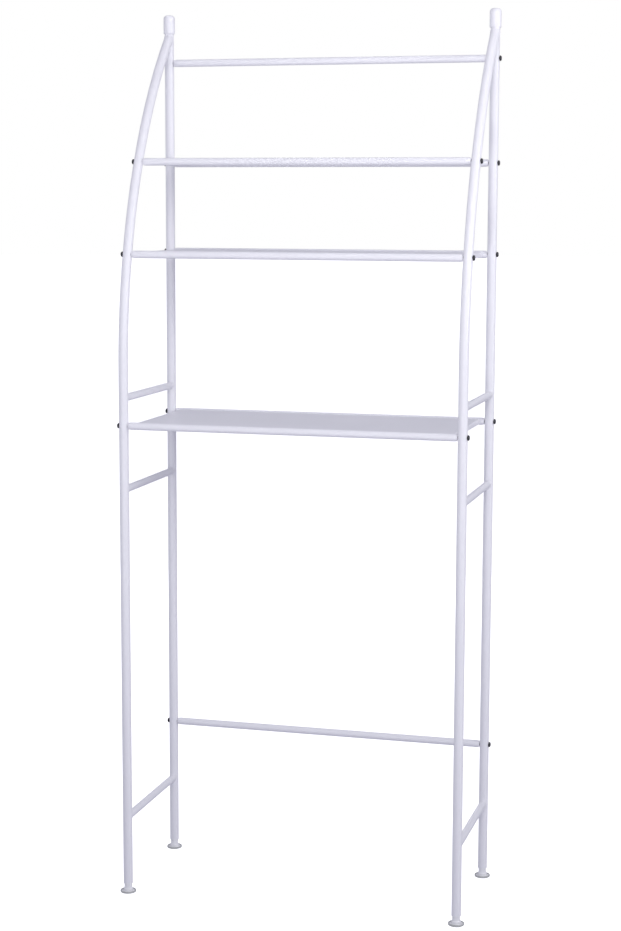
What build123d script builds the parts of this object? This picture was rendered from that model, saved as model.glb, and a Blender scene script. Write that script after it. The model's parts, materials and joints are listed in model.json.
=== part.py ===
from build123d import *
from math import sqrt
import os

# A free-standing storage rack that straddles a toilet. Millimetres, +Z up, -Y is the front.
# The origin is on the floor, midway between the four feet.

os.makedirs("parts", exist_ok=True)

# Overall sizes
overall_height = 1520.0  # floor to the top of the caps
post_spacing_x = 582.0  # left posts to right posts, centre to centre
post_spacing_y = 245.0  # front legs to rear legs, centre to centre

# Tubes
post_diameter = 16.0
post_wall = 1.0
rail_diameter = 12.7  # shelf rails, cross bars and rungs
rail_wall = 0.9

# Heights measured from the floor
bottom_shelf_height = 819.0
bottom_bar_height = 243.0
foot_rung_height = 135.0

# Heights measured from the bottom shelf
seam_drop = 9.0  # lower leg ends this far below the shelf's screws
lower_rung_drop = 109.0
upper_rung_rise = 47.0
bend_rise = 91.0  # front post is straight up to here

# Heights measured down from the top
join_drop = 38.0  # centre lines of front and rear posts meet
top_bar_drop = 83.0
top_shelf_drop = 175.0  # below the top bar
middle_shelf_drop = 155.0  # below the top shelf

# Spigot that joins a lower leg to an upper post
spigot_length = 45.0
spigot_clearance = 0.1
spigot_chamfer = 0.8
swage_length = 4.0
seam_chamfer = 0.4
cope_gap = 0.1  # weld root gap between a front post and its rear post

# Closed ends of rails and bars
dome_length = 5.0
dome_ring_radius = 3.9  # flat ring that bears on the post

# Threaded bushes and screws
screw_radius = 3.0
screw_length = 34.0
screw_head_radius = 5.1
screw_head_height = 3.3
screw_head_edge = 0.7
socket_across_corners = 4.6
socket_depth = 1.9
post_hole_clearance = 0.2
rail_hole_clearance = 0.4
thread_clearance = 0.05
bush_length = 14.0
bush_clearance = 0.05
bush_chamfer = 0.6
bush_setback = 0.3  # behind the dome

# Shelf panels
panel_sheet = 1.0
panel_drop = 2.3  # panel top below the rail's top
panel_inset = 9.0  # panel side to the post's inner face
panel_flange = 9.0
panel_bend = 2.2

# Top caps
cap_wall = 2.0
cap_length = 32.0
cap_roof = 3.0
cap_round = 6.0
cap_clearance = 0.05

# Levelling feet
foot_height = 15.7  # floor to the underside of the insert, screwed right in
pad_radius = 13.75
pad_edge = 4.0
pad_edge_chamfer = 0.7
pad_neck_radius = 6.3
pad_shoulder = 10.5  # height where the flare meets the neck
pad_waist_radius = 9.0
pad_waist_height = 6.9
pad_floor = 3.0  # plastic under the stud's head
foot_gap = 0.3  # pad's neck to the insert
stud_radius = 4.0
stud_head_radius = 6.2
stud_head_height = 2.4
stud_length = 33.0
stud_chamfer = 0.8
head_clearance = 0.3
stud_clearance = 0.05
insert_flange = 1.5
insert_length = 22.0
insert_clearance = 0.05
insert_chamfer = 1.0

# Derived sizes
post_radius = post_diameter / 2
post_bore = post_radius - post_wall
rail_radius = rail_diameter / 2
rail_bore = rail_radius - rail_wall
post_x = post_spacing_x / 2
leg_y = post_spacing_y / 2
rail_end_x = post_x - post_radius
screw_seat_x = post_x + post_radius
leg_bottom = foot_height + insert_flange
leg_seam = bottom_shelf_height - seam_drop
bend_start = bottom_shelf_height + bend_rise
join_height = overall_height - join_drop
top_bar_height = overall_height - top_bar_drop
top_shelf_height = top_bar_height - top_shelf_drop
middle_shelf_height = top_shelf_height - middle_shelf_drop
post_top = overall_height - cap_roof
bend_rise_total = join_height - bend_start
bend_radius = (bend_rise_total**2 + post_spacing_y**2) / (2 * post_spacing_y)

side_names = {"left": -1, "right": 1}
shelf_heights = {
    "bottom_shelf": bottom_shelf_height,
    "middle_shelf": middle_shelf_height,
    "top_shelf": top_shelf_height,
}
bar_heights = {"bottom_bar": bottom_bar_height, "top_bar": top_bar_height}


def front_post_y(height):
    # centre line of a front post: upright below the bend, on its arc above
    if height <= bend_start:
        return -leg_y
    return -leg_y + bend_radius - sqrt(bend_radius**2 - (height - bend_start) ** 2)


def section_plane(x, y):
    # upright plane through the axis of a post, with local y as height
    return Plane(origin=(x, y, 0), x_dir=(1, 0, 0), z_dir=(0, -1, 0))


def save(piece, name):
    piece.part.label = name
    export_step(piece.part, f"parts/{name}.step")


def cut_screw_hole(x, y, height):
    with BuildSketch(Plane(origin=(x, y, height), z_dir=(1, 0, 0))) as hole:
        Circle(screw_radius + post_hole_clearance)
    extrude(hole.sketch, amount=post_diameter, both=True, mode=Mode.SUBTRACT)


def make_lower_leg(x, y, hole_heights):
    # tube whose top is swaged down to a spigot, with a square shoulder at the seam
    spigot_radius = post_bore - spigot_clearance
    spigot_top = leg_seam + spigot_length
    with BuildPart() as leg:
        with BuildSketch(section_plane(x, y)):
            with BuildLine():
                Polyline(
                    (post_bore, leg_bottom),
                    (post_radius, leg_bottom),
                    (post_radius, leg_seam - seam_chamfer),
                    (post_radius - seam_chamfer, leg_seam),
                    (spigot_radius, leg_seam),
                    (spigot_radius, spigot_top - spigot_chamfer),
                    (spigot_radius - spigot_chamfer, spigot_top),
                    (spigot_radius - post_wall, spigot_top),
                    (spigot_radius - post_wall, leg_seam),
                    (post_bore, leg_seam - swage_length),
                    close=True,
                )
            make_face()
        revolve(axis=Axis((x, y, 0), (0, 0, 1)))
        for height in hole_heights:
            cut_screw_hole(x, y, height)
    return leg


def make_rear_post(x):
    with BuildPart() as post:
        with BuildSketch(Plane.XY.offset(leg_seam)):
            with Locations((x, leg_y)):
                Circle(post_radius)
                Circle(post_bore, mode=Mode.SUBTRACT)
        extrude(amount=post_top - leg_seam)
        chamfer(
            post.edges().filter_by(GeomType.CIRCLE).group_by(Axis.Z)[0].sort_by(SortBy.RADIUS)[-1],
            length=seam_chamfer,
        )
        for height in [*shelf_heights.values(), top_bar_height]:
            cut_screw_hole(x, leg_y, height)
    return post


def make_front_post(x):
    # upright run, then one arc back to the centre line of the rear post
    bend_foot = (x, -leg_y, bend_start)
    with BuildPart() as post:
        with BuildLine() as route:
            Line((x, -leg_y, leg_seam), bend_foot)
            TangentArc(bend_foot, (x, leg_y, join_height), tangent=(0, 0, 1))
        with BuildSketch(Plane.XY.offset(leg_seam)):
            with Locations((x, -leg_y)):
                Circle(post_radius)
                Circle(post_bore, mode=Mode.SUBTRACT)
        sweep(path=route.wires()[0])
        # mouth coped to the rear post
        with BuildSketch(Plane.XY.offset(join_height - 4 * post_diameter)):
            with Locations((x, leg_y)):
                Circle(post_radius + cope_gap)
        extrude(amount=8 * post_diameter, mode=Mode.SUBTRACT)
        for height in shelf_heights.values():
            cut_screw_hole(x, front_post_y(height), height)
    return post


def make_rung(x, height):
    with BuildPart() as rung:
        with BuildSketch(Plane(origin=(x, 0, height), x_dir=(1, 0, 0), z_dir=(0, 1, 0))):
            Circle(rail_radius)
            Circle(rail_bore, mode=Mode.SUBTRACT)
        extrude(amount=leg_y, both=True)
        # both ends coped to the posts
        with BuildSketch(Plane.XY.offset(height - rail_diameter)):
            with Locations((x, -leg_y), (x, leg_y)):
                Circle(post_radius)
        extrude(amount=2 * rail_diameter, mode=Mode.SUBTRACT)
    return rung


def make_bar(y, height):
    # tube with domed closed ends that bear on the posts, drilled for the screws
    dome_start = rail_end_x - dome_length
    dome_height = rail_radius - dome_ring_radius
    hole_radius = screw_radius + rail_hole_clearance
    with BuildPart() as bar:
        with BuildSketch(Plane(origin=(0, y, height), x_dir=(1, 0, 0), z_dir=(0, -1, 0))):
            with BuildLine():
                Line((0, rail_radius), (dome_start, rail_radius))
                EllipticalCenterArc((dome_start, dome_ring_radius), dome_length, dome_height, arc_size=90)
                Line((rail_end_x, dome_ring_radius), (rail_end_x, hole_radius))
                Line((rail_end_x, hole_radius), (rail_end_x - rail_wall, hole_radius))
                Line((rail_end_x - rail_wall, hole_radius), (rail_end_x - rail_wall, dome_ring_radius))
                EllipticalCenterArc(
                    (dome_start, dome_ring_radius),
                    dome_length - rail_wall,
                    dome_height - rail_wall,
                    arc_size=90,
                )
                Line((dome_start, rail_bore), (0, rail_bore))
                Line((0, rail_bore), (0, rail_radius))
            make_face()
        revolve(axis=Axis((0, y, height), (1, 0, 0)))
        mirror(about=Plane.YZ)
    return bar


def make_panel(front_y, height):
    # sheet with both sides turned down, its front and back edges welded to the rails
    panel_width = 2 * (rail_end_x - panel_inset)
    panel_top = height + rail_radius - panel_drop
    middle_y = (front_y + leg_y) / 2
    with BuildPart() as panel:
        with BuildSketch(Plane(origin=(0, middle_y, panel_top), x_dir=(1, 0, 0), z_dir=(0, -1, 0))):
            with BuildSketch(mode=Mode.PRIVATE) as outside:
                Rectangle(panel_width, panel_flange, align=(Align.CENTER, Align.MAX))
                fillet(outside.vertices().group_by(Axis.Y)[-1], radius=panel_bend)
            with BuildSketch(mode=Mode.PRIVATE) as inside:
                with Locations((0, -panel_sheet)):
                    Rectangle(panel_width - 2 * panel_sheet, panel_flange, align=(Align.CENTER, Align.MAX))
                fillet(inside.vertices().group_by(Axis.Y)[-1], radius=panel_bend - panel_sheet)
            add(outside.sketch)
            add(inside.sketch, mode=Mode.SUBTRACT)
        extrude(amount=(leg_y - front_y) / 2, both=True)
        for rail_y in (front_y, leg_y):
            with BuildSketch(Plane(origin=(0, rail_y, height), z_dir=(1, 0, 0))):
                Circle(rail_radius)
            extrude(amount=panel_width, both=True, mode=Mode.SUBTRACT)
    return panel


def make_bushes(places):
    # threaded bushes pressed into both ends of each tube, places are (y, height)
    bush_radius = rail_bore - bush_clearance
    thread_radius = screw_radius + thread_clearance
    with BuildPart() as bushes:
        for side in side_names.values():
            for y, height in places:
                mouth = (side * (rail_end_x - dome_length - bush_setback), y, height)
                with BuildSketch(Plane(origin=mouth, x_dir=(-side, 0, 0), z_dir=(0, side, 0))):
                    with BuildLine():
                        Polyline(
                            (0, thread_radius),
                            (0, bush_radius - bush_chamfer),
                            (bush_chamfer, bush_radius),
                            (bush_length - bush_chamfer, bush_radius),
                            (bush_length, bush_radius - bush_chamfer),
                            (bush_length, thread_radius),
                            close=True,
                        )
                    make_face()
                revolve(axis=Axis(mouth, (side, 0, 0)))
    return bushes


def make_screws(places):
    # button heads against the outer faces of the posts, places are (y, height)
    with BuildPart() as screws:
        for side in side_names.values():
            for y, height in places:
                seat = (side * screw_seat_x, y, height)
                with BuildSketch(Plane(origin=seat, x_dir=(side, 0, 0), z_dir=(0, -side, 0))):
                    with BuildLine():
                        Polyline(
                            (screw_head_height, 0),
                            (-screw_length, 0),
                            (-screw_length, screw_radius - screw_head_edge),
                            (screw_head_edge - screw_length, screw_radius),
                            (0, screw_radius),
                            (0, screw_head_radius),
                            (screw_head_edge, screw_head_radius),
                        )
                        crown = (screw_head_height, socket_across_corners / 2)
                        ThreePointArc(
                            (screw_head_edge, screw_head_radius),
                            (screw_head_height * 0.8, (screw_head_radius + crown[1]) / 2 + screw_head_edge / 2),
                            crown,
                        )
                        Line(crown, (screw_head_height, 0))
                    make_face()
                revolve(axis=Axis(seat, (side, 0, 0)))
                socket_face = (side * (screw_seat_x + screw_head_height), y, height)
                with BuildSketch(Plane(origin=socket_face, z_dir=(-side, 0, 0))):
                    RegularPolygon(socket_across_corners / 2, 6)
                extrude(amount=socket_depth, mode=Mode.SUBTRACT)
    return screws


def make_top_cap(x):
    # deep push-on cap with a rounded top
    cap_radius = post_radius + cap_wall
    cap_bottom = overall_height - cap_length
    with BuildPart() as cap:
        with BuildSketch(Plane.XY.offset(cap_bottom)):
            with Locations((x, leg_y)):
                Circle(cap_radius)
        extrude(amount=cap_length)
        fillet(cap.edges().group_by(Axis.Z)[-1], radius=cap_round)
        with BuildSketch(Plane.XY.offset(cap_bottom)):
            with Locations((x, leg_y)):
                Circle(post_radius + cap_clearance)
        extrude(amount=cap_length - cap_roof, mode=Mode.SUBTRACT)
    return cap


def make_foot_insert(x, y):
    insert_top = leg_bottom + insert_length
    plug_radius = post_bore - insert_clearance
    with BuildPart() as insert:
        with BuildSketch(section_plane(x, y)):
            with BuildLine():
                Polyline(
                    (stud_radius + stud_clearance, foot_height),
                    (post_radius, foot_height),
                    (post_radius, leg_bottom),
                    (plug_radius, leg_bottom),
                    (plug_radius, insert_top - insert_chamfer),
                    (plug_radius - insert_chamfer, insert_top),
                    (stud_radius + stud_clearance, insert_top),
                    close=True,
                )
            make_face()
        revolve(axis=Axis((x, y, 0), (0, 0, 1)))
    return insert


def make_foot_stud(x, y):
    # flat head that is held in the pad's pocket, under a plain shank
    head_bottom = pad_floor + head_clearance
    head_top = head_bottom + stud_head_height
    stud_top = head_bottom + stud_length
    with BuildPart() as stud:
        with BuildSketch(section_plane(x, y)):
            with BuildLine():
                Polyline(
                    (0, head_bottom),
                    (stud_head_radius, head_bottom),
                    (stud_head_radius, head_top),
                    (stud_radius, head_top),
                    (stud_radius, stud_top - stud_chamfer),
                    (stud_radius - stud_chamfer, stud_top),
                    (0, stud_top),
                    close=True,
                )
            make_face()
        revolve(axis=Axis((x, y, 0), (0, 0, 1)))
    return stud


def make_foot_pad(x, y):
    # flared disc with a neck, moulded around the stud's head
    pad_top = foot_height - foot_gap
    pocket_top = pad_floor + stud_head_height + 2 * head_clearance
    with BuildPart() as pad:
        with BuildSketch(section_plane(x, y)):
            with BuildLine():
                Polyline(
                    (pad_neck_radius, pad_shoulder),
                    (pad_neck_radius, pad_top),
                    (stud_radius + stud_clearance, pad_top),
                    (stud_radius + stud_clearance, pocket_top),
                    (stud_head_radius + head_clearance, pocket_top),
                    (stud_head_radius + head_clearance, pad_floor),
                    (0, pad_floor),
                    (0, 0),
                    (pad_radius - pad_edge_chamfer, 0),
                    (pad_radius, pad_edge_chamfer),
                    (pad_radius, pad_edge),
                )
                ThreePointArc(
                    (pad_radius, pad_edge),
                    (pad_waist_radius, pad_waist_height),
                    (pad_neck_radius, pad_shoulder),
                )
            make_face()
        revolve(axis=Axis((x, y, 0), (0, 0, 1)))
    return pad


# Side frames
for side_name, side in side_names.items():
    side_x = side * post_x
    save(make_lower_leg(side_x, -leg_y, [bottom_shelf_height]), f"{side_name}_lower_front_leg")
    save(
        make_lower_leg(side_x, leg_y, [bottom_shelf_height, bottom_bar_height]),
        f"{side_name}_lower_rear_leg",
    )
    save(make_front_post(side_x), f"{side_name}_upper_front_post")
    save(make_rear_post(side_x), f"{side_name}_upper_rear_post")
    save(make_rung(side_x, foot_rung_height), f"{side_name}_foot_rung")
    save(make_rung(side_x, bottom_shelf_height - lower_rung_drop), f"{side_name}_lower_rung")
    save(make_rung(side_x, bottom_shelf_height + upper_rung_rise), f"{side_name}_upper_rung")
    save(make_top_cap(side_x), f"{side_name}_top_cap")

# Levelling feet
for side_name, side in side_names.items():
    for row_name, foot_y in {"front": -leg_y, "rear": leg_y}.items():
        foot_name = f"{side_name}_{row_name}_foot"
        save(make_foot_insert(side * post_x, foot_y), f"{foot_name}_insert")
        save(make_foot_stud(side * post_x, foot_y), f"{foot_name}_stud")
        save(make_foot_pad(side * post_x, foot_y), f"{foot_name}_pad")

# Cross bars at the back
for bar_name, bar_height in bar_heights.items():
    save(make_bar(leg_y, bar_height), bar_name)
    save(make_bushes([(leg_y, bar_height)]), f"{bar_name}_bushes")
    save(make_screws([(leg_y, bar_height)]), f"{bar_name}_screws")

# Shelves
for shelf_name, shelf_height in shelf_heights.items():
    shelf_front_y = front_post_y(shelf_height)
    rail_places = [(shelf_front_y, shelf_height), (leg_y, shelf_height)]
    save(make_bar(shelf_front_y, shelf_height), f"{shelf_name}_front_rail")
    save(make_bar(leg_y, shelf_height), f"{shelf_name}_rear_rail")
    save(make_panel(shelf_front_y, shelf_height), f"{shelf_name}_panel")
    save(make_bushes(rail_places), f"{shelf_name}_bushes")
    save(make_screws(rail_places), f"{shelf_name}_screws")
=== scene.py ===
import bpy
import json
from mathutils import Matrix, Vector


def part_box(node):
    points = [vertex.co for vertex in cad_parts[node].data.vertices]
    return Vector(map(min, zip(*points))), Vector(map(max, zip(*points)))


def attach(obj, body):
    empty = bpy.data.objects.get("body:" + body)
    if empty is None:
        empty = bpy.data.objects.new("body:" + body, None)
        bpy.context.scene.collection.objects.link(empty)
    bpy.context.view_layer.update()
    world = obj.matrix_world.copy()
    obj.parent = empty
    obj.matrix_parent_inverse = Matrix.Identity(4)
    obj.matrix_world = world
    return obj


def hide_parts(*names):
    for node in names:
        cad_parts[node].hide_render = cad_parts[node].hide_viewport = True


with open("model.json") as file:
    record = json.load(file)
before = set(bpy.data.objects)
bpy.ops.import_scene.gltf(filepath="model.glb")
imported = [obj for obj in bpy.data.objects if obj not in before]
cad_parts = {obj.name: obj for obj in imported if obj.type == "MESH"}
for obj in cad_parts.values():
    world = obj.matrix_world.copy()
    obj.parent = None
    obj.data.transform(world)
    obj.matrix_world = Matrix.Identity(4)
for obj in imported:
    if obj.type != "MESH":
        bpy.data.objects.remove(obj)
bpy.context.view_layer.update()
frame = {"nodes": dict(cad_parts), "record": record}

import json
from math import cos, pi, radians, sin

import bpy
from mathutils import Matrix, Vector

nodes = frame["nodes"]
sceneNow = bpy.context.scene


# camera: right of the middle, a little above the second shelf, looking slightly down
cameraSettings = {
    "place": (0.871, -3.192, 1.1975),
    "turnLeft": 15.21,  # degrees from straight at the back
    "tiltDown": 7.76,
    "roll": 0.184,
    "lens": 75.16,
    "sensor": 36.0,
    "nearest": 0.05,  # what is closer or farther isn't drawn
    "farthest": 200.0,
}


def makeCamera(settings):
    data = bpy.data.cameras.new("frontCamera")
    data.lens = settings["lens"]
    data.sensor_width = settings["sensor"]
    data.clip_start = settings["nearest"]
    data.clip_end = settings["farthest"]
    camera = bpy.data.objects.new("frontCamera", data)
    turn = Matrix.Rotation(radians(settings["turnLeft"]), 4, "Z")
    tilt = Matrix.Rotation(radians(90.0 - settings["tiltDown"]), 4, "X")
    roll = Matrix.Rotation(radians(settings["roll"]), 4, "Z")
    camera.matrix_world = Matrix.Translation(settings["place"]) @ turn @ tilt @ roll
    sceneNow.collection.objects.link(camera)
    sceneNow.camera = camera


makeCamera(cameraSettings)
print("camera set")


# nodes and sums: a Wire is one output socket, and arithmetic on it adds Math nodes
class Wire:
    def __init__(self, maker, socket):
        self.maker = maker
        self.socket = socket

    def __add__(self, other):
        return self.maker.maths("ADD", self, other)

    def __radd__(self, other):
        return self.maker.maths("ADD", other, self)

    def __sub__(self, other):
        return self.maker.maths("SUBTRACT", self, other)

    def __rsub__(self, other):
        return self.maker.maths("SUBTRACT", other, self)

    def __mul__(self, other):
        return self.maker.maths("MULTIPLY", self, other)

    def __rmul__(self, other):
        return self.maker.maths("MULTIPLY", other, self)

    def __truediv__(self, other):
        return self.maker.maths("DIVIDE", self, other)

    def __pow__(self, other):
        return self.maker.maths("POWER", self, other)

    def __neg__(self):
        return self.maker.maths("MULTIPLY", self, -1.0)


class NodeMaker:
    def __init__(self, tree):
        self.tree = tree

    def node(self, kind, settings=None, inputs=None, output=0):
        # settings go on the node first, because some of them change its sockets
        made = self.tree.nodes.new(kind)
        for name, value in (settings or {}).items():
            if name == "items":
                for extra in range(value - 2):  # an index switch starts with two
                    made.index_switch_items.new()
            else:
                setattr(made, name, value)
        for name, value in (inputs or {}).items():
            if isinstance(value, Wire):
                self.tree.links.new(value.socket, made.inputs[name])
            else:
                made.inputs[name].default_value = value
        return Wire(self, made.outputs[output]) if len(made.outputs) else None

    def maths(self, operation, first, second=0.0):
        return self.node("ShaderNodeMath", {"operation": operation}, {0: first, 1: second})

    def between(self, value, low, high):
        return self.maths("MINIMUM", self.maths("MAXIMUM", value, low), high)

    def join(self, pieces):
        joined = self.tree.nodes.new("GeometryNodeJoinGeometry")
        for piece in reversed(pieces):
            self.tree.links.new(piece.socket, joined.inputs[0])
        return Wire(self, joined.outputs[0])

    def mixColour(self, factor, first, second):
        inputs = {0: factor, 6: first, 7: second}
        return self.node("ShaderNodeMix", {"data_type": "RGBA"}, inputs, output=2)

    def noise(self, place, scale, detail=2.0, roughness=0.5):
        inputs = {"Vector": place, "Scale": scale, "Detail": detail, "Roughness": roughness}
        return self.node("ShaderNodeTexNoise", {}, inputs)

    def bump(self, height, strength, distance):
        inputs = {"Strength": strength, "Distance": distance, "Height": height}
        return self.node("ShaderNodeBump", {}, inputs)

    def objectPlace(self):
        return self.node("ShaderNodeTexCoord", {}, {}, output="Object")

    def pick(self, kind, index, values):
        switch = {"data_type": kind, "items": len(values)}
        inputs = {0: index, **dict(enumerate(values, 1))}
        return self.node("GeometryNodeIndexSwitch", switch, inputs)


def newMaterial(name):
    material = bpy.data.materials.new(name)
    material.use_nodes = True
    material.node_tree.nodes.clear()
    return material, NodeMaker(material.node_tree)


def finishMaterial(maker, inputs):
    surface = maker.node("ShaderNodeBsdfPrincipled", {}, inputs)
    maker.node("ShaderNodeOutputMaterial", {}, {"Surface": surface})


# Geometry Nodes: a tree has one named input for each size and grows from the points it is given
def newTree(name, sizes):
    tree = bpy.data.node_groups.new(name, "GeometryNodeTree")
    tree.interface.new_socket("Geometry", in_out="OUTPUT", socket_type="NodeSocketGeometry")
    tree.interface.new_socket("Points", in_out="INPUT", socket_type="NodeSocketGeometry")
    for size, value in sizes.items():
        kind = "NodeSocketInt" if isinstance(value, int) else "NodeSocketFloat"
        tree.interface.new_socket(size, in_out="INPUT", socket_type=kind)
    maker = NodeMaker(tree)
    start = tree.nodes.new("NodeGroupInput")
    wires = {socket.name: Wire(maker, socket) for socket in start.outputs if socket.name}
    return tree, maker, wires


def endTree(maker, instances, material):
    joined = maker.node("GeometryNodeRealizeInstances", {}, {0: instances})
    smooth = maker.node("GeometryNodeSetShadeSmooth", {}, {"Geometry": joined})
    painted = maker.node("GeometryNodeSetMaterial", {}, {"Geometry": smooth, "Material": material})
    maker.node("NodeGroupOutput", {}, {0: painted})


# points stand where the copies go, and each copy's own +Z turns to the way its point faces
def instanceOnPoints(maker, points, copy):
    stored = {"data_type": "FLOAT_VECTOR"}
    way = maker.node("GeometryNodeInputNamedAttribute", stored, {"Name": "facing"})
    turn = maker.node("FunctionNodeAlignRotationToVector", {"axis": "Z"}, {"Vector": way})
    inputs = {"Points": points, "Instance": copy, "Rotation": turn}
    return maker.node("GeometryNodeInstanceOnPoints", {}, inputs)


pathRadius = 0.001  # of the circle that a turned outline runs round, taken off its radii
mergeDistance = 1e-6  # closes a turned body on its axis


# a body turned about Z from corners of (radius, height, rounding), which are sizes or sums of them
def turnedBody(maker, corners, segments, roundSteps):
    index = maker.node("GeometryNodeInputIndex")
    places = [
        maker.node("ShaderNodeCombineXYZ", {}, {"X": radius - pathRadius, "Y": -height})
        for radius, height, rounding in corners
    ]
    place = maker.pick("VECTOR", index, places)
    rounding = maker.pick("FLOAT", index, [corner[2] for corner in corners])
    line = maker.node("GeometryNodeMeshLine", {}, {"Count": len(corners)})
    outline = maker.node("GeometryNodeSetPosition", {}, {"Geometry": line, "Position": place})
    outline = maker.node("GeometryNodeMeshToCurve", {}, {"Mesh": outline})
    inputs = {"Curve": outline, "Radius": rounding, "Count": roundSteps, "Limit Radius": True}
    outline = maker.node("GeometryNodeFilletCurve", {"mode": "POLY"}, inputs)
    path = maker.node(
        "GeometryNodeCurvePrimitiveCircle", {}, {"Resolution": segments, "Radius": pathRadius}
    )
    body = maker.node("GeometryNodeCurveToMesh", {}, {"Curve": path, "Profile Curve": outline})
    inputs = {"Geometry": body, "Distance": mergeDistance}
    closed = maker.node("GeometryNodeMergeByDistance", {}, inputs)
    return maker.node("GeometryNodeFlipFaces", {}, {"Mesh": closed})


# seeds: a list of (place, facing); the grown mesh stays, its modifier goes
def growPiece(name, tree, sizes, seeds, body, replaced=()):
    mesh = bpy.data.meshes.new(name)
    mesh.from_pydata([place for place, facing in seeds], [], [])
    facings = mesh.attributes.new("facing", "FLOAT_VECTOR", "POINT")
    for index, (place, facing) in enumerate(seeds):
        facings.data[index].vector = facing
    piece = bpy.data.objects.new(name, mesh)
    sceneNow.collection.objects.link(piece)
    modifier = piece.modifiers.new("grow", "NODES")
    modifier.node_group = tree
    for socket in tree.interface.items_tree:
        if socket.in_out == "INPUT" and socket.name in sizes:
            modifier[socket.identifier] = sizes[socket.name]
    evaluated = piece.evaluated_get(bpy.context.evaluated_depsgraph_get())
    grown = bpy.data.meshes.new_from_object(evaluated)
    piece.modifiers.remove(modifier)
    if grown.materials[0] is None:  # the seed's own empty slot
        grown.materials.pop(index=0)
        grown.polygons.foreach_set("material_index", [0] * len(grown.polygons))
    piece.data = grown
    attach(piece, body)
    for nodeName in replaced:
        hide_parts(nodeName)


def middle(nodeName):
    low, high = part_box(nodeName)
    return [(low[axis] + high[axis]) / 2.0 for axis in range(3)]


# one upright seed, in the middle of a node's underside
def seedUnder(nodeName):
    across, along = middle(nodeName)[:2]
    return [((across, along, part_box(nodeName)[0][2]), (0.0, 0.0, 1.0))]


# white powder coat: a fine orange-peel skin over steel, very slightly uneven in tone
powderCoat = {
    "colour": (0.86, 0.855, 0.89, 1.0),
    "shade": (0.82, 0.815, 0.86, 1.0),
    "cloudSize": 7.0,  # per metre
    "peelSize": 520.0,
    "grainSize": 2600.0,
    "peelTone": 0.3,  # share of the peel in the tone, the rest is cloud
    "roughness": 0.33,
    "peelGloss": 0.16,
    "grainGloss": 0.08,
    "peelHeight": 0.8,  # share of the peel in the height, the rest is grain
    "peelDepth": 0.00006,
    "bumpStrength": 0.6,
    "specular": 0.36,
    "coat": 0.12,
    "coatRoughness": 0.18,
}


def makePowderCoat(name, settings):
    material, maker = newMaterial(name)
    place = maker.objectPlace()
    cloud = maker.noise(place, settings["cloudSize"], detail=3.0)
    peel = maker.noise(place, settings["peelSize"], roughness=0.45)
    grain = maker.noise(place, settings["grainSize"], detail=1.0)
    tone = cloud * (1.0 - settings["peelTone"]) + peel * settings["peelTone"]
    colour = maker.mixColour(tone, settings["colour"], settings["shade"])
    peelGloss = (peel - 0.5) * settings["peelGloss"]
    roughness = settings["roughness"] + peelGloss + (grain - 0.5) * settings["grainGloss"]
    height = peel * settings["peelHeight"] + grain * (1.0 - settings["peelHeight"])
    finishMaterial(
        maker,
        {
            "Base Color": colour,
            "Roughness": roughness,
            "Normal": maker.bump(height, settings["bumpStrength"], settings["peelDepth"]),
            "Specular IOR Level": settings["specular"],
            "Coat Weight": settings["coat"],
            "Coat Roughness": settings["coatRoughness"],
        },
    )
    return material


# moulded plastics: flow marks and fine spark-eroded grain
mouldedGrain = {
    "flowSize": 90.0,  # per metre
    "grainSize": 1800.0,
    "grainGloss": 0.12,
    "grainDepth": 0.00001,
    "bumpStrength": 0.3,
}
capPlastic = {
    **mouldedGrain,
    "colour": (0.86, 0.855, 0.89, 1.0),
    "shade": (0.82, 0.815, 0.86, 1.0),
    "roughness": 0.28,
}
footPlasticAndRimShade = {
    **mouldedGrain,
    "colour": (0.88, 0.88, 0.90, 1.0),
    "shade": (0.83, 0.83, 0.85, 1.0),
    "roughness": 0.34,
    # the grey on the rim is painted shade: the dark edge round each foot, put into its colour
    "rim": (0.48, 0.49, 0.48, 1.0),
    "rimShadeFrom": 0.0112,  # radius where the painted shade on the rim starts
    "rimShadeFade": 2500.0,  # per metre
    "centre": (0.291, 0.1225),  # of each foot, left or right of the middle, front or back
}


# how much painted shade a foot gets: 0 inside its rim and 1 on it, a grey band that stands in for
# the shade round the foot's edge
def rimShadeShare(maker, place, settings):
    across = maker.node("ShaderNodeSeparateXYZ", {}, {"Vector": place}, output="X")
    along = maker.node("ShaderNodeSeparateXYZ", {}, {"Vector": place}, output="Y")
    across = maker.maths("ABSOLUTE", across) - settings["centre"][0]
    along = maker.maths("ABSOLUTE", along) - settings["centre"][1]
    fromCentre = (across * across + along * along) ** 0.5
    return maker.between((fromCentre - settings["rimShadeFrom"]) * settings["rimShadeFade"], 0.0, 1.0)


def makePlastic(name, settings):
    material, maker = newMaterial(name)
    place = maker.objectPlace()
    flow = maker.noise(place, settings["flowSize"])
    grain = maker.noise(place, settings["grainSize"])
    colour = maker.mixColour(flow, settings["colour"], settings["shade"])
    # painted shade: a grey band mixed into the colour round each foot's rim
    if "rim" in settings:
        colour = maker.mixColour(rimShadeShare(maker, place, settings), colour, settings["rim"])
    bump = maker.bump(grain, settings["bumpStrength"], settings["grainDepth"])
    roughness = settings["roughness"] + (grain - 0.5) * settings["grainGloss"]
    finishMaterial(maker, {"Base Color": colour, "Roughness": roughness, "Normal": bump})
    return material


# black oxide on the screws: dark, half metallic, with a fine etched grain
oxideSettings = {
    "colour": (0.028, 0.028, 0.031, 1.0),
    "shade": (0.070, 0.069, 0.075, 1.0),
    "grainSize": 2200.0,  # per metre
    "roughness": 0.30,
    "grainGloss": 0.18,
    "grainDepth": 0.00003,
    "bumpStrength": 0.5,
    "metallic": 0.6,
}


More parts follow.
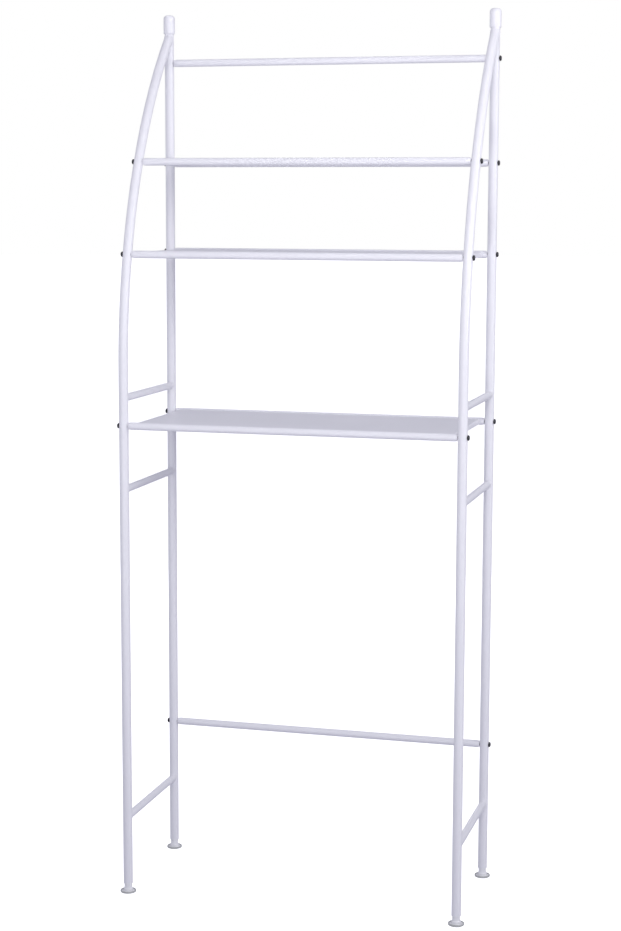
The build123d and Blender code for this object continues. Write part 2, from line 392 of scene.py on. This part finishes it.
def makeBlackOxide(name, settings):
    material, maker = newMaterial(name)
    grain = maker.noise(maker.objectPlace(), settings["grainSize"], detail=3.0)
    finishMaterial(
        maker,
        {
            "Base Color": maker.mixColour(grain, settings["colour"], settings["shade"]),
            "Roughness": settings["roughness"] + grain * settings["grainGloss"],
            "Metallic": settings["metallic"],
            "Normal": maker.bump(grain, settings["bumpStrength"], settings["grainDepth"]),
        },
    )
    return material


# zinc plate on the studs: small crystals that differ a little in tone
zincSettings = {
    "colour": (0.60, 0.61, 0.64, 1.0),
    "shade": (0.50, 0.51, 0.55, 1.0),
    "crystalSize": 420.0,  # per metre
    "grainSize": 1500.0,
    "roughness": 0.24,
    "grainGloss": 0.16,
}


def makeZinc(name, settings):
    material, maker = newMaterial(name)
    place = maker.objectPlace()
    inputs = {"Vector": place, "Scale": settings["crystalSize"]}
    crystal = maker.node("ShaderNodeTexVoronoi", {}, inputs)
    grain = maker.noise(place, settings["grainSize"])
    colour = maker.mixColour(crystal, settings["colour"], settings["shade"])
    roughness = settings["roughness"] + grain * settings["grainGloss"]
    finishMaterial(maker, {"Base Color": colour, "Roughness": roughness, "Metallic": 1.0})
    return material


finishes = {
    "white_powder_coat": makePowderCoat("whitePowderCoat", powderCoat),
    "white_cap_plastic": makePlastic("whiteCapPlastic", capPlastic),
    "foot_plastic": makePlastic("paleFootPlasticRimShade", footPlasticAndRimShade),
    "black_screw": makeBlackOxide("blackOxide", oxideSettings),
    "zinc_plated_steel": makeZinc("zincPlate", zincSettings),
}
slotOfNode = {entry["node"]: entry["material_slot"] for entry in frame["record"]["subparts"]}
for nodeName, nodeObject in nodes.items():
    nodeObject.data.materials.clear()
    nodeObject.data.materials.append(finishes[slotOfNode[nodeName]])
print("finishes on", len(nodes), "CAD pieces")


# button-head screws with a hex socket, one at each end of every rail and bar
screwSizes = {
    "headRadius": 0.0046,
    "headHeight": 0.003,
    "headRounding": 0.0023,
    "edgeRounding": 0.0003,
    "shankRadius": 0.003,
    "shankLength": 0.034,
    "socketSides": 6,
    "socketRadius": 0.0023,
    "socketDepth": 0.0019,
    "turnSteps": 40,
    "roundSteps": 4,
}


def makeScrewTree(sizes, material):
    tree, maker, size = newTree("buttonScrew", sizes)
    corners = [
        (0.0, -size["shankLength"], 0.0),
        (size["shankRadius"], -size["shankLength"], size["edgeRounding"]),
        (size["shankRadius"], 0.0, 0.0),
        (size["headRadius"], 0.0, size["edgeRounding"]),
        (size["headRadius"], size["headHeight"], size["headRounding"]),
        (0.0, size["headHeight"], 0.0),
    ]
    blank = turnedBody(maker, corners, size["turnSteps"], size["roundSteps"])
    # the six-sided cutter stands half in the head
    cutter = maker.node(
        "GeometryNodeMeshCylinder",
        {},
        {
            "Vertices": size["socketSides"],
            "Radius": size["socketRadius"],
            "Depth": size["socketDepth"] * 2.0,
        },
    )
    lift = maker.node("ShaderNodeCombineXYZ", {}, {"Z": size["headHeight"]})
    cutter = maker.node("GeometryNodeTransform", {}, {"Geometry": cutter, "Translation": lift})
    screw = maker.node(
        "GeometryNodeMeshBoolean",
        {"operation": "DIFFERENCE", "solver": "EXACT"},
        {"Mesh 1": blank, "Mesh 2": cutter},
    )
    endTree(maker, instanceOnPoints(maker, size["Points"], screw), material)
    return tree


# a head's top stands as far out as the CAD one's, and its screw is on the axis of its rail
def screwSeeds(nodeName, headHeight):
    low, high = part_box(nodeName)
    seat = high[0] - headHeight
    radius = (high[2] - low[2]) / 2.0
    rows = {round(low[1] + radius, 4), round(high[1] - radius, 4)}
    height = (low[2] + high[2]) / 2.0
    places = [(side, row) for side in (-1.0, 1.0) for row in sorted(rows)]
    return [((side * seat, row, height), (side, 0.0, 0.0)) for side, row in places]


screwTree = makeScrewTree(screwSizes, finishes["black_screw"])
for nodeName in [name for name in nodes if name.endswith("_screws")]:
    seeds = screwSeeds(nodeName, screwSizes["headHeight"])
    growPiece("fine_" + nodeName, screwTree, screwSizes, seeds, "root", [nodeName])
print("screws grown")


# weld beads: each runs round a tube's end where it meets a post, rippled as it was laid
beadSizes = {
    "tubeRadius": 0.00635,
    "postRadius": 0.0081,
    "slant": pi / 2,  # of the tube from the post
    "beadRadius": 0.0011,
    "ripple": 0.14,
    "ripples": 22,
    "curveSteps": 176,
    "beadSteps": 8,
}


def makeBeadTree(sizes, material):
    tree, maker, size = newTree("weldBead", sizes)
    circle = maker.node("GeometryNodeCurvePrimitiveCircle", {}, {"Resolution": size["curveSteps"]})
    turn = maker.node("GeometryNodeSplineParameter") * (2.0 * pi)
    # the meeting line of two round tubes: across, along the post, out from the post's axis
    across = size["tubeRadius"] * maker.maths("COSINE", turn)
    out = maker.maths("SQRT", size["postRadius"] ** 2 - across**2)
    slantSine = maker.maths("SINE", size["slant"])
    fall = out * maker.maths("COSINE", size["slant"]) / slantSine
    along = size["tubeRadius"] * maker.maths("SINE", turn) / slantSine - fall
    place = maker.node("ShaderNodeCombineXYZ", {}, {"X": across, "Y": along, "Z": out})
    line = maker.node("GeometryNodeSetPosition", {}, {"Geometry": circle, "Position": place})
    section = maker.node(
        "GeometryNodeCurvePrimitiveCircle",
        {},
        {"Resolution": size["beadSteps"], "Radius": size["beadRadius"]},
    )
    swell = 1.0 + size["ripple"] * maker.maths("SINE", turn * size["ripples"])
    bead = maker.node(
        "GeometryNodeCurveToMesh", {}, {"Curve": line, "Profile Curve": section, "Scale": swell}
    )
    endTree(maker, instanceOnPoints(maker, size["Points"], bead), material)
    return tree


beadTree = makeBeadTree(beadSizes, finishes["white_powder_coat"])
legY = middle("left_lower_rear_leg")[1]
rungSeeds = []
for nodeName in [name for name in nodes if name.endswith("_rung")]:
    rung = middle(nodeName)
    rungSeeds += [((rung[0], side * legY, rung[2]), (0.0, -side, 0.0)) for side in (-1.0, 1.0)]
growPiece("rung_weld_beads", beadTree, beadSizes, rungSeeds, "root")

# the bent front posts meet the rear posts at a slant, just under the caps
joinSizes = {
    **beadSizes,
    "tubeRadius": 0.008,
    "slant": radians(46.0),
    "beadRadius": 0.0009,
    "ripples": 30,
}
joinBelowCap = 0.006
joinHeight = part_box("left_top_cap")[0][2] - joinBelowCap
joinSeeds = [
    ((middle(f"{side}_upper_rear_post")[0], legY, joinHeight), (0.0, -1.0, 0.0))
    for side in ("left", "right")
]
growPiece("post_weld_beads", beadTree, joinSizes, joinSeeds, "root")
print("weld beads laid")


# tack welds under each panel, along both of its rails
tackSizes = {
    "tackLength": 0.016,
    "tackRadius": 0.0012,
    "endShare": 0.02,  # how thick the ends are left
    "lineSteps": 13,
    "roundSteps": 8,
}
tackRow = {"count": 6, "endGap": 0.045, "sheet": 0.001}


def makeTackTree(sizes, material):
    tree, maker, size = newTree("tackWeld", sizes)
    end = maker.node("ShaderNodeCombineXYZ", {}, {"Z": size["tackLength"]})
    line = maker.node("GeometryNodeCurvePrimitiveLine", {}, {"End": end})
    line = maker.node("GeometryNodeResampleCurve", {}, {"Curve": line, "Count": size["lineSteps"]})
    section = maker.node(
        "GeometryNodeCurvePrimitiveCircle",
        {},
        {"Resolution": size["roundSteps"], "Radius": size["tackRadius"]},
    )
    way = maker.node("GeometryNodeSplineParameter")
    taper = maker.maths("SQRT", 4.0 * way * (1.0 - way) + size["endShare"])  # blunt at both ends
    tack = maker.node(
        "GeometryNodeCurveToMesh",
        {},
        {"Curve": line, "Profile Curve": section, "Scale": taper, "Fill Caps": True},
    )
    endTree(maker, instanceOnPoints(maker, size["Points"], tack), material)
    return tree


# the seams run where the rails' round sides meet the sheet's underside
def tackSeeds(shelf, sizes, row):
    low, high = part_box(f"{shelf}_panel")
    under = high[2] - row["sheet"]
    first = low[0] + row["endGap"]
    step = (high[0] - low[0] - 2.0 * row["endGap"] - sizes["tackLength"]) / (row["count"] - 1)
    seeds = []
    for rail, inward in (("front_rail", 1.0), ("rear_rail", -1.0)):
        railLow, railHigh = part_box(f"{shelf}_{rail}")
        radius = (railHigh[2] - railLow[2]) / 2.0
        rise = under - (railLow[2] + radius)
        seamY = (railLow[1] + railHigh[1]) / 2.0 + inward * (radius**2 - rise**2) ** 0.5
        for index in range(row["count"]):
            seeds.append(((first + index * step, seamY, under), (1.0, 0.0, 0.0)))
    return seeds


tackTree = makeTackTree(tackSizes, finishes["white_powder_coat"])
for shelf in ("bottom_shelf", "middle_shelf", "top_shelf"):
    seeds = tackSeeds(shelf, tackSizes, tackRow)
    growPiece(f"{shelf}_tack_welds", tackTree, tackSizes, seeds, "root")
print("panels tacked")


# push-on caps: a hollow turned cup, with a parting line near its mouth and a gate mark on top
capLow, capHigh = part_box("left_top_cap")
capSizes = {
    "radius": (capHigh[0] - capLow[0]) / 2.0,
    "length": capHigh[2] - capLow[2],
    "bore": 0.00805,
    "boreRounding": 0.0005,
    "roof": 0.003,
    "crown": 0.0062,
    "mouthRounding": 0.0006,
    "partingHeight": 0.0026,
    "partingDepth": 0.00025,
    "gateRadius": 0.0012,
    "gateDepth": 0.00025,
    "gateRounding": 0.0001,
    "turnSteps": 56,
    "roundSteps": 8,
}


def makeCapTree(sizes, material):
    tree, maker, size = newTree("turnedCap", sizes)
    roofUnder = size["length"] - size["roof"]
    grooveRadius = size["radius"] - size["partingDepth"]
    gateFloor = size["length"] - size["gateDepth"]
    partingRounding = size["partingDepth"] / 2.0
    partingMiddle = size["partingHeight"] + size["partingDepth"]
    partingTop = size["partingHeight"] + 2.0 * size["partingDepth"]
    corners = [
        (0.0, roofUnder, 0.0),
        (size["bore"], roofUnder, size["boreRounding"]),
        (size["bore"], 0.0, size["mouthRounding"] / 2.0),
        (size["radius"], 0.0, size["mouthRounding"]),
        (size["radius"], size["partingHeight"], partingRounding),
        (grooveRadius, partingMiddle, partingRounding),
        (size["radius"], partingTop, partingRounding),
        (size["radius"], size["length"], size["crown"]),
        (size["gateRadius"], size["length"], size["gateRounding"]),
        (size["gateRadius"], gateFloor, size["gateRounding"]),
        (0.0, gateFloor, 0.0),
    ]
    cap = turnedBody(maker, corners, size["turnSteps"], size["roundSteps"])
    endTree(maker, instanceOnPoints(maker, size["Points"], cap), material)
    return tree


capTree = makeCapTree(capSizes, finishes["white_cap_plastic"])
for side in ("left", "right"):
    nodeName = f"{side}_top_cap"
    seeds = seedUnder(nodeName)
    growPiece("fine_" + nodeName, capTree, capSizes, seeds, "root", [nodeName])
print("caps turned")


# foot pads: a raised rim round a shallow dish, then a boss and a neck, with a pocket inside that
# holds the stud's head
padLow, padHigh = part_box("left_front_foot_pad")
padSizes = {
    "radius": (padHigh[0] - padLow[0]) / 2.0,
    "height": padHigh[2] - padLow[2],
    "rimHeight": 0.0036,
    "rimWidth": 0.0021,
    "rimRounding": 0.0011,
    "dishHeight": 0.0021,
    "bossRadius": 0.0083,
    "bossHeight": 0.0072,
    "bossRounding": 0.0016,
    "neckRadius": 0.0066,
    "neckStep": 0.0005,
    "stepRounding": 0.0005,
    "studBore": 0.00405,
    "boreRounding": 0.0002,
    "pocketRadius": 0.0065,
    "pocketFloor": 0.003,
    "pocketTop": 0.006,
    "soleRounding": 0.001,
    "turnSteps": 64,
    "roundSteps": 6,
}


def makePadTree(sizes, material):
    tree, maker, size = newTree("turnedPad", sizes)
    dishRadius = size["radius"] - size["rimWidth"]
    neckFoot = size["bossHeight"] + size["neckStep"]
    corners = [
        (0.0, 0.0, 0.0),
        (size["radius"], 0.0, size["soleRounding"]),
        (size["radius"], size["rimHeight"], size["rimRounding"]),
        (dishRadius, size["rimHeight"], size["rimRounding"]),
        (dishRadius, size["dishHeight"], size["stepRounding"]),
        (size["bossRadius"], size["dishHeight"], size["stepRounding"]),
        (size["bossRadius"], size["bossHeight"], size["bossRounding"]),
        (size["neckRadius"], neckFoot, size["stepRounding"]),
        (size["neckRadius"], size["height"], size["stepRounding"]),
        (size["studBore"], size["height"], size["boreRounding"]),
        (size["studBore"], size["pocketTop"], 0.0),
        (size["pocketRadius"], size["pocketTop"], 0.0),
        (size["pocketRadius"], size["pocketFloor"], 0.0),
        (0.0, size["pocketFloor"], 0.0),
    ]
    pad = turnedBody(maker, corners, size["turnSteps"], size["roundSteps"])
    endTree(maker, instanceOnPoints(maker, size["Points"], pad), material)
    return tree


# adjusting studs: flat head, plain core and a rolled thread that winds up it
studSizes = {
    "headRadius": 0.0062,
    "headHeight": 0.0024,
    "headRounding": 0.0004,
    "length": 0.033,
    "coreRadius": 0.00335,
    "coreRounding": 0.0002,
    "tipRounding": 0.0005,
    "threadRadius": 0.004,
    "pitch": 0.00125,
    "threadStart": 0.0044,
    "threadTurns": 22,
    "ridgeSides": 4,
    "ridgeEnd": 0.02,  # share of the ridge that is left at its ends
    "turnSteps": 24,
    "roundSteps": 4,
}


def makeStudTree(sizes, material):
    tree, maker, size = newTree("threadedStud", sizes)
    corners = [
        (0.0, 0.0, 0.0),
        (size["headRadius"], 0.0, size["headRounding"]),
        (size["headRadius"], size["headHeight"], size["headRounding"]),
        (size["coreRadius"], size["headHeight"], size["coreRounding"]),
        (size["coreRadius"], size["length"], size["tipRounding"]),
        (0.0, size["length"], 0.0),
    ]
    core = turnedBody(maker, corners, size["turnSteps"], size["roundSteps"])
    depth = size["threadRadius"] - size["coreRadius"]
    spiral = maker.node(
        "GeometryNodeCurveSpiral",
        {},
        {
            "Resolution": size["turnSteps"],
            "Rotations": size["threadTurns"],
            "Start Radius": size["coreRadius"],
            "End Radius": size["coreRadius"],
            "Height": size["pitch"] * size["threadTurns"],
            "Reverse": True,
        },
    )
    lift = maker.node("ShaderNodeCombineXYZ", {}, {"Z": size["threadStart"]})
    spiral = maker.node("GeometryNodeTransform", {}, {"Geometry": spiral, "Translation": lift})
    inputs = {"Resolution": size["ridgeSides"], "Radius": depth}
    ridge = maker.node("GeometryNodeCurvePrimitiveCircle", {}, inputs)
    way = maker.node("GeometryNodeSplineParameter")
    # the ridge runs out into the core over its first and last turns
    turnsLeft = maker.maths("MINIMUM", way, 1.0 - way) * size["threadTurns"]
    swell = maker.maths("MINIMUM", turnsLeft, 1.0) + size["ridgeEnd"]
    thread = maker.node(
        "GeometryNodeCurveToMesh",
        {},
        {"Curve": spiral, "Profile Curve": ridge, "Scale": swell, "Fill Caps": True},
    )
    both = maker.join([core, thread])
    endTree(maker, instanceOnPoints(maker, size["Points"], both), material)
    return tree


padTree = makePadTree(padSizes, finishes["foot_plastic"])
studTree = makeStudTree(studSizes, finishes["zinc_plated_steel"])
for nodeName in [name for name in nodes if name.endswith("_foot_pad")]:
    seeds = seedUnder(nodeName)
    growPiece("fine_" + nodeName, padTree, padSizes, seeds, nodeName, [nodeName])
for nodeName in [name for name in nodes if name.endswith("_foot_stud")]:
    seeds = seedUnder(nodeName)
    growPiece("fine_" + nodeName, studTree, studSizes, seeds, nodeName, [nodeName])
print("feet turned")


# studio: pale floor, soft boxes mostly from the front and the right, dim lavender air all round;
# the floor and the air look white straight on but throw back less light than that
white = (1.0, 1.0, 1.0, 1.0)
studio = {
    "floorRadius": 40.0,
    "floorCorners": 96,
    "floorDrop": 0.0125,  # clears the feet when they are screwed right out
    "floorTone": (0.92, 0.92, 0.93, 1.0),
    "floorCloud": (0.90, 0.90, 0.92, 1.0),
    "cloudSize": 1.5,  # per metre
    "floorRoughness": 0.75,
    "floorGlow": 0.72,
    "floorBounce": (0.60, 0.60, 0.66, 1.0),
    "surround": (0.50, 0.50, 0.57, 1.0),
    "surroundStrength": 1.02,
}
softBoxes = {
    # name: place, aimed at, size, watts, spread in degrees
    "frontBox": ((0.75, -1.95, 2.0), (0.0, 0.0, 0.95), (1.2, 1.2), 7.5, 180.0),
    "eyeBox": ((0.9, -2.6, 1.15), (0.0, 0.0, 1.15), (0.9, 0.6), 8.5, 180.0),
    "leftBox": ((-2.8, -0.9, 1.7), (0.0, 0.0, 1.1), (0.9, 1.8), 1.5, 180.0),
    "rightBox": ((2.8, -0.7, 1.9), (0.0, 0.0, 1.3), (0.9, 1.8), 7.8, 90.0),
    "lowBox": ((-0.4, -2.6, 0.3), (0.0, 0.0, 1.4), (1.6, 0.5), 1.9, 60.0),
    "crownBox": ((0.6, -1.9, 2.2), (0.25, 0.0, 1.45), (0.8, 0.5), 0.42, 40.0),
    "backBox": ((-0.6, 3.0, 0.55), (0.0, 0.0, 0.9), (1.8, 0.8), 5.0, 180.0),
}


def makeFloor(settings):
    mesh = bpy.data.meshes.new("studioFloor")
    count = settings["floorCorners"]
    turns = [2.0 * pi * corner / count for corner in range(count)]
    rim = [settings["floorRadius"] * Vector((cos(turn), sin(turn), 0.0)) for turn in turns]
    mesh.from_pydata(rim, [], [list(range(count))])
    floor = bpy.data.objects.new("studioFloor", mesh)
    floor.location.z = -settings["floorDrop"]
    sceneNow.collection.objects.link(floor)
    material, maker = newMaterial("studioFloor")
    tone = maker.noise(maker.objectPlace(), settings["cloudSize"], detail=3.0)
    seenFloor = maker.node(
        "ShaderNodeBsdfPrincipled",
        {},
        {
            "Base Color": maker.mixColour(tone, settings["floorTone"], settings["floorCloud"]),
            "Roughness": settings["floorRoughness"],
            "Emission Color": white,
            "Emission Strength": settings["floorGlow"],
        },
    )
    litFloor = maker.node("ShaderNodeBsdfDiffuse", {}, {"Color": settings["floorBounce"]})
    seen = maker.node("ShaderNodeLightPath", {}, {}, output="Is Camera Ray")
    mixed = maker.node("ShaderNodeMixShader", {}, {0: seen, 1: litFloor, 2: seenFloor})
    maker.node("ShaderNodeOutputMaterial", {}, {"Surface": mixed})
    mesh.materials.append(material)


def makeSurround(settings):
    world = bpy.data.worlds.new("studioSurround")
    world.use_nodes = True
    world.node_tree.nodes.clear()
    maker = NodeMaker(world.node_tree)
    seen = maker.node("ShaderNodeLightPath", {}, {}, output="Is Camera Ray")
    colour = maker.mixColour(seen, settings["surround"], white)
    strength = settings["surroundStrength"] + seen * (1.0 - settings["surroundStrength"])
    background = maker.node("ShaderNodeBackground", {}, {"Color": colour, "Strength": strength})
    maker.node("ShaderNodeOutputWorld", {}, {"Surface": background})
    sceneNow.world = world


def makeSoftBoxes(boxes):
    for name, (place, target, size, watts, spread) in boxes.items():
        data = bpy.data.lights.new(name, "AREA")
        data.shape = "RECTANGLE"
        data.size, data.size_y = size
        data.energy = watts
        data.spread = radians(spread)
        lamp = bpy.data.objects.new(name, data)
        lamp.visible_camera = False
        aim = (Vector(target) - Vector(place)).to_track_quat("-Z", "Y").to_matrix().to_4x4()
        lamp.matrix_world = Matrix.Translation(place) @ aim
        sceneNow.collection.objects.link(lamp)


makeFloor(studio)
makeSurround(studio)
makeSoftBoxes(softBoxes)
sceneNow.view_settings.view_transform = "Standard"
print("studio set")
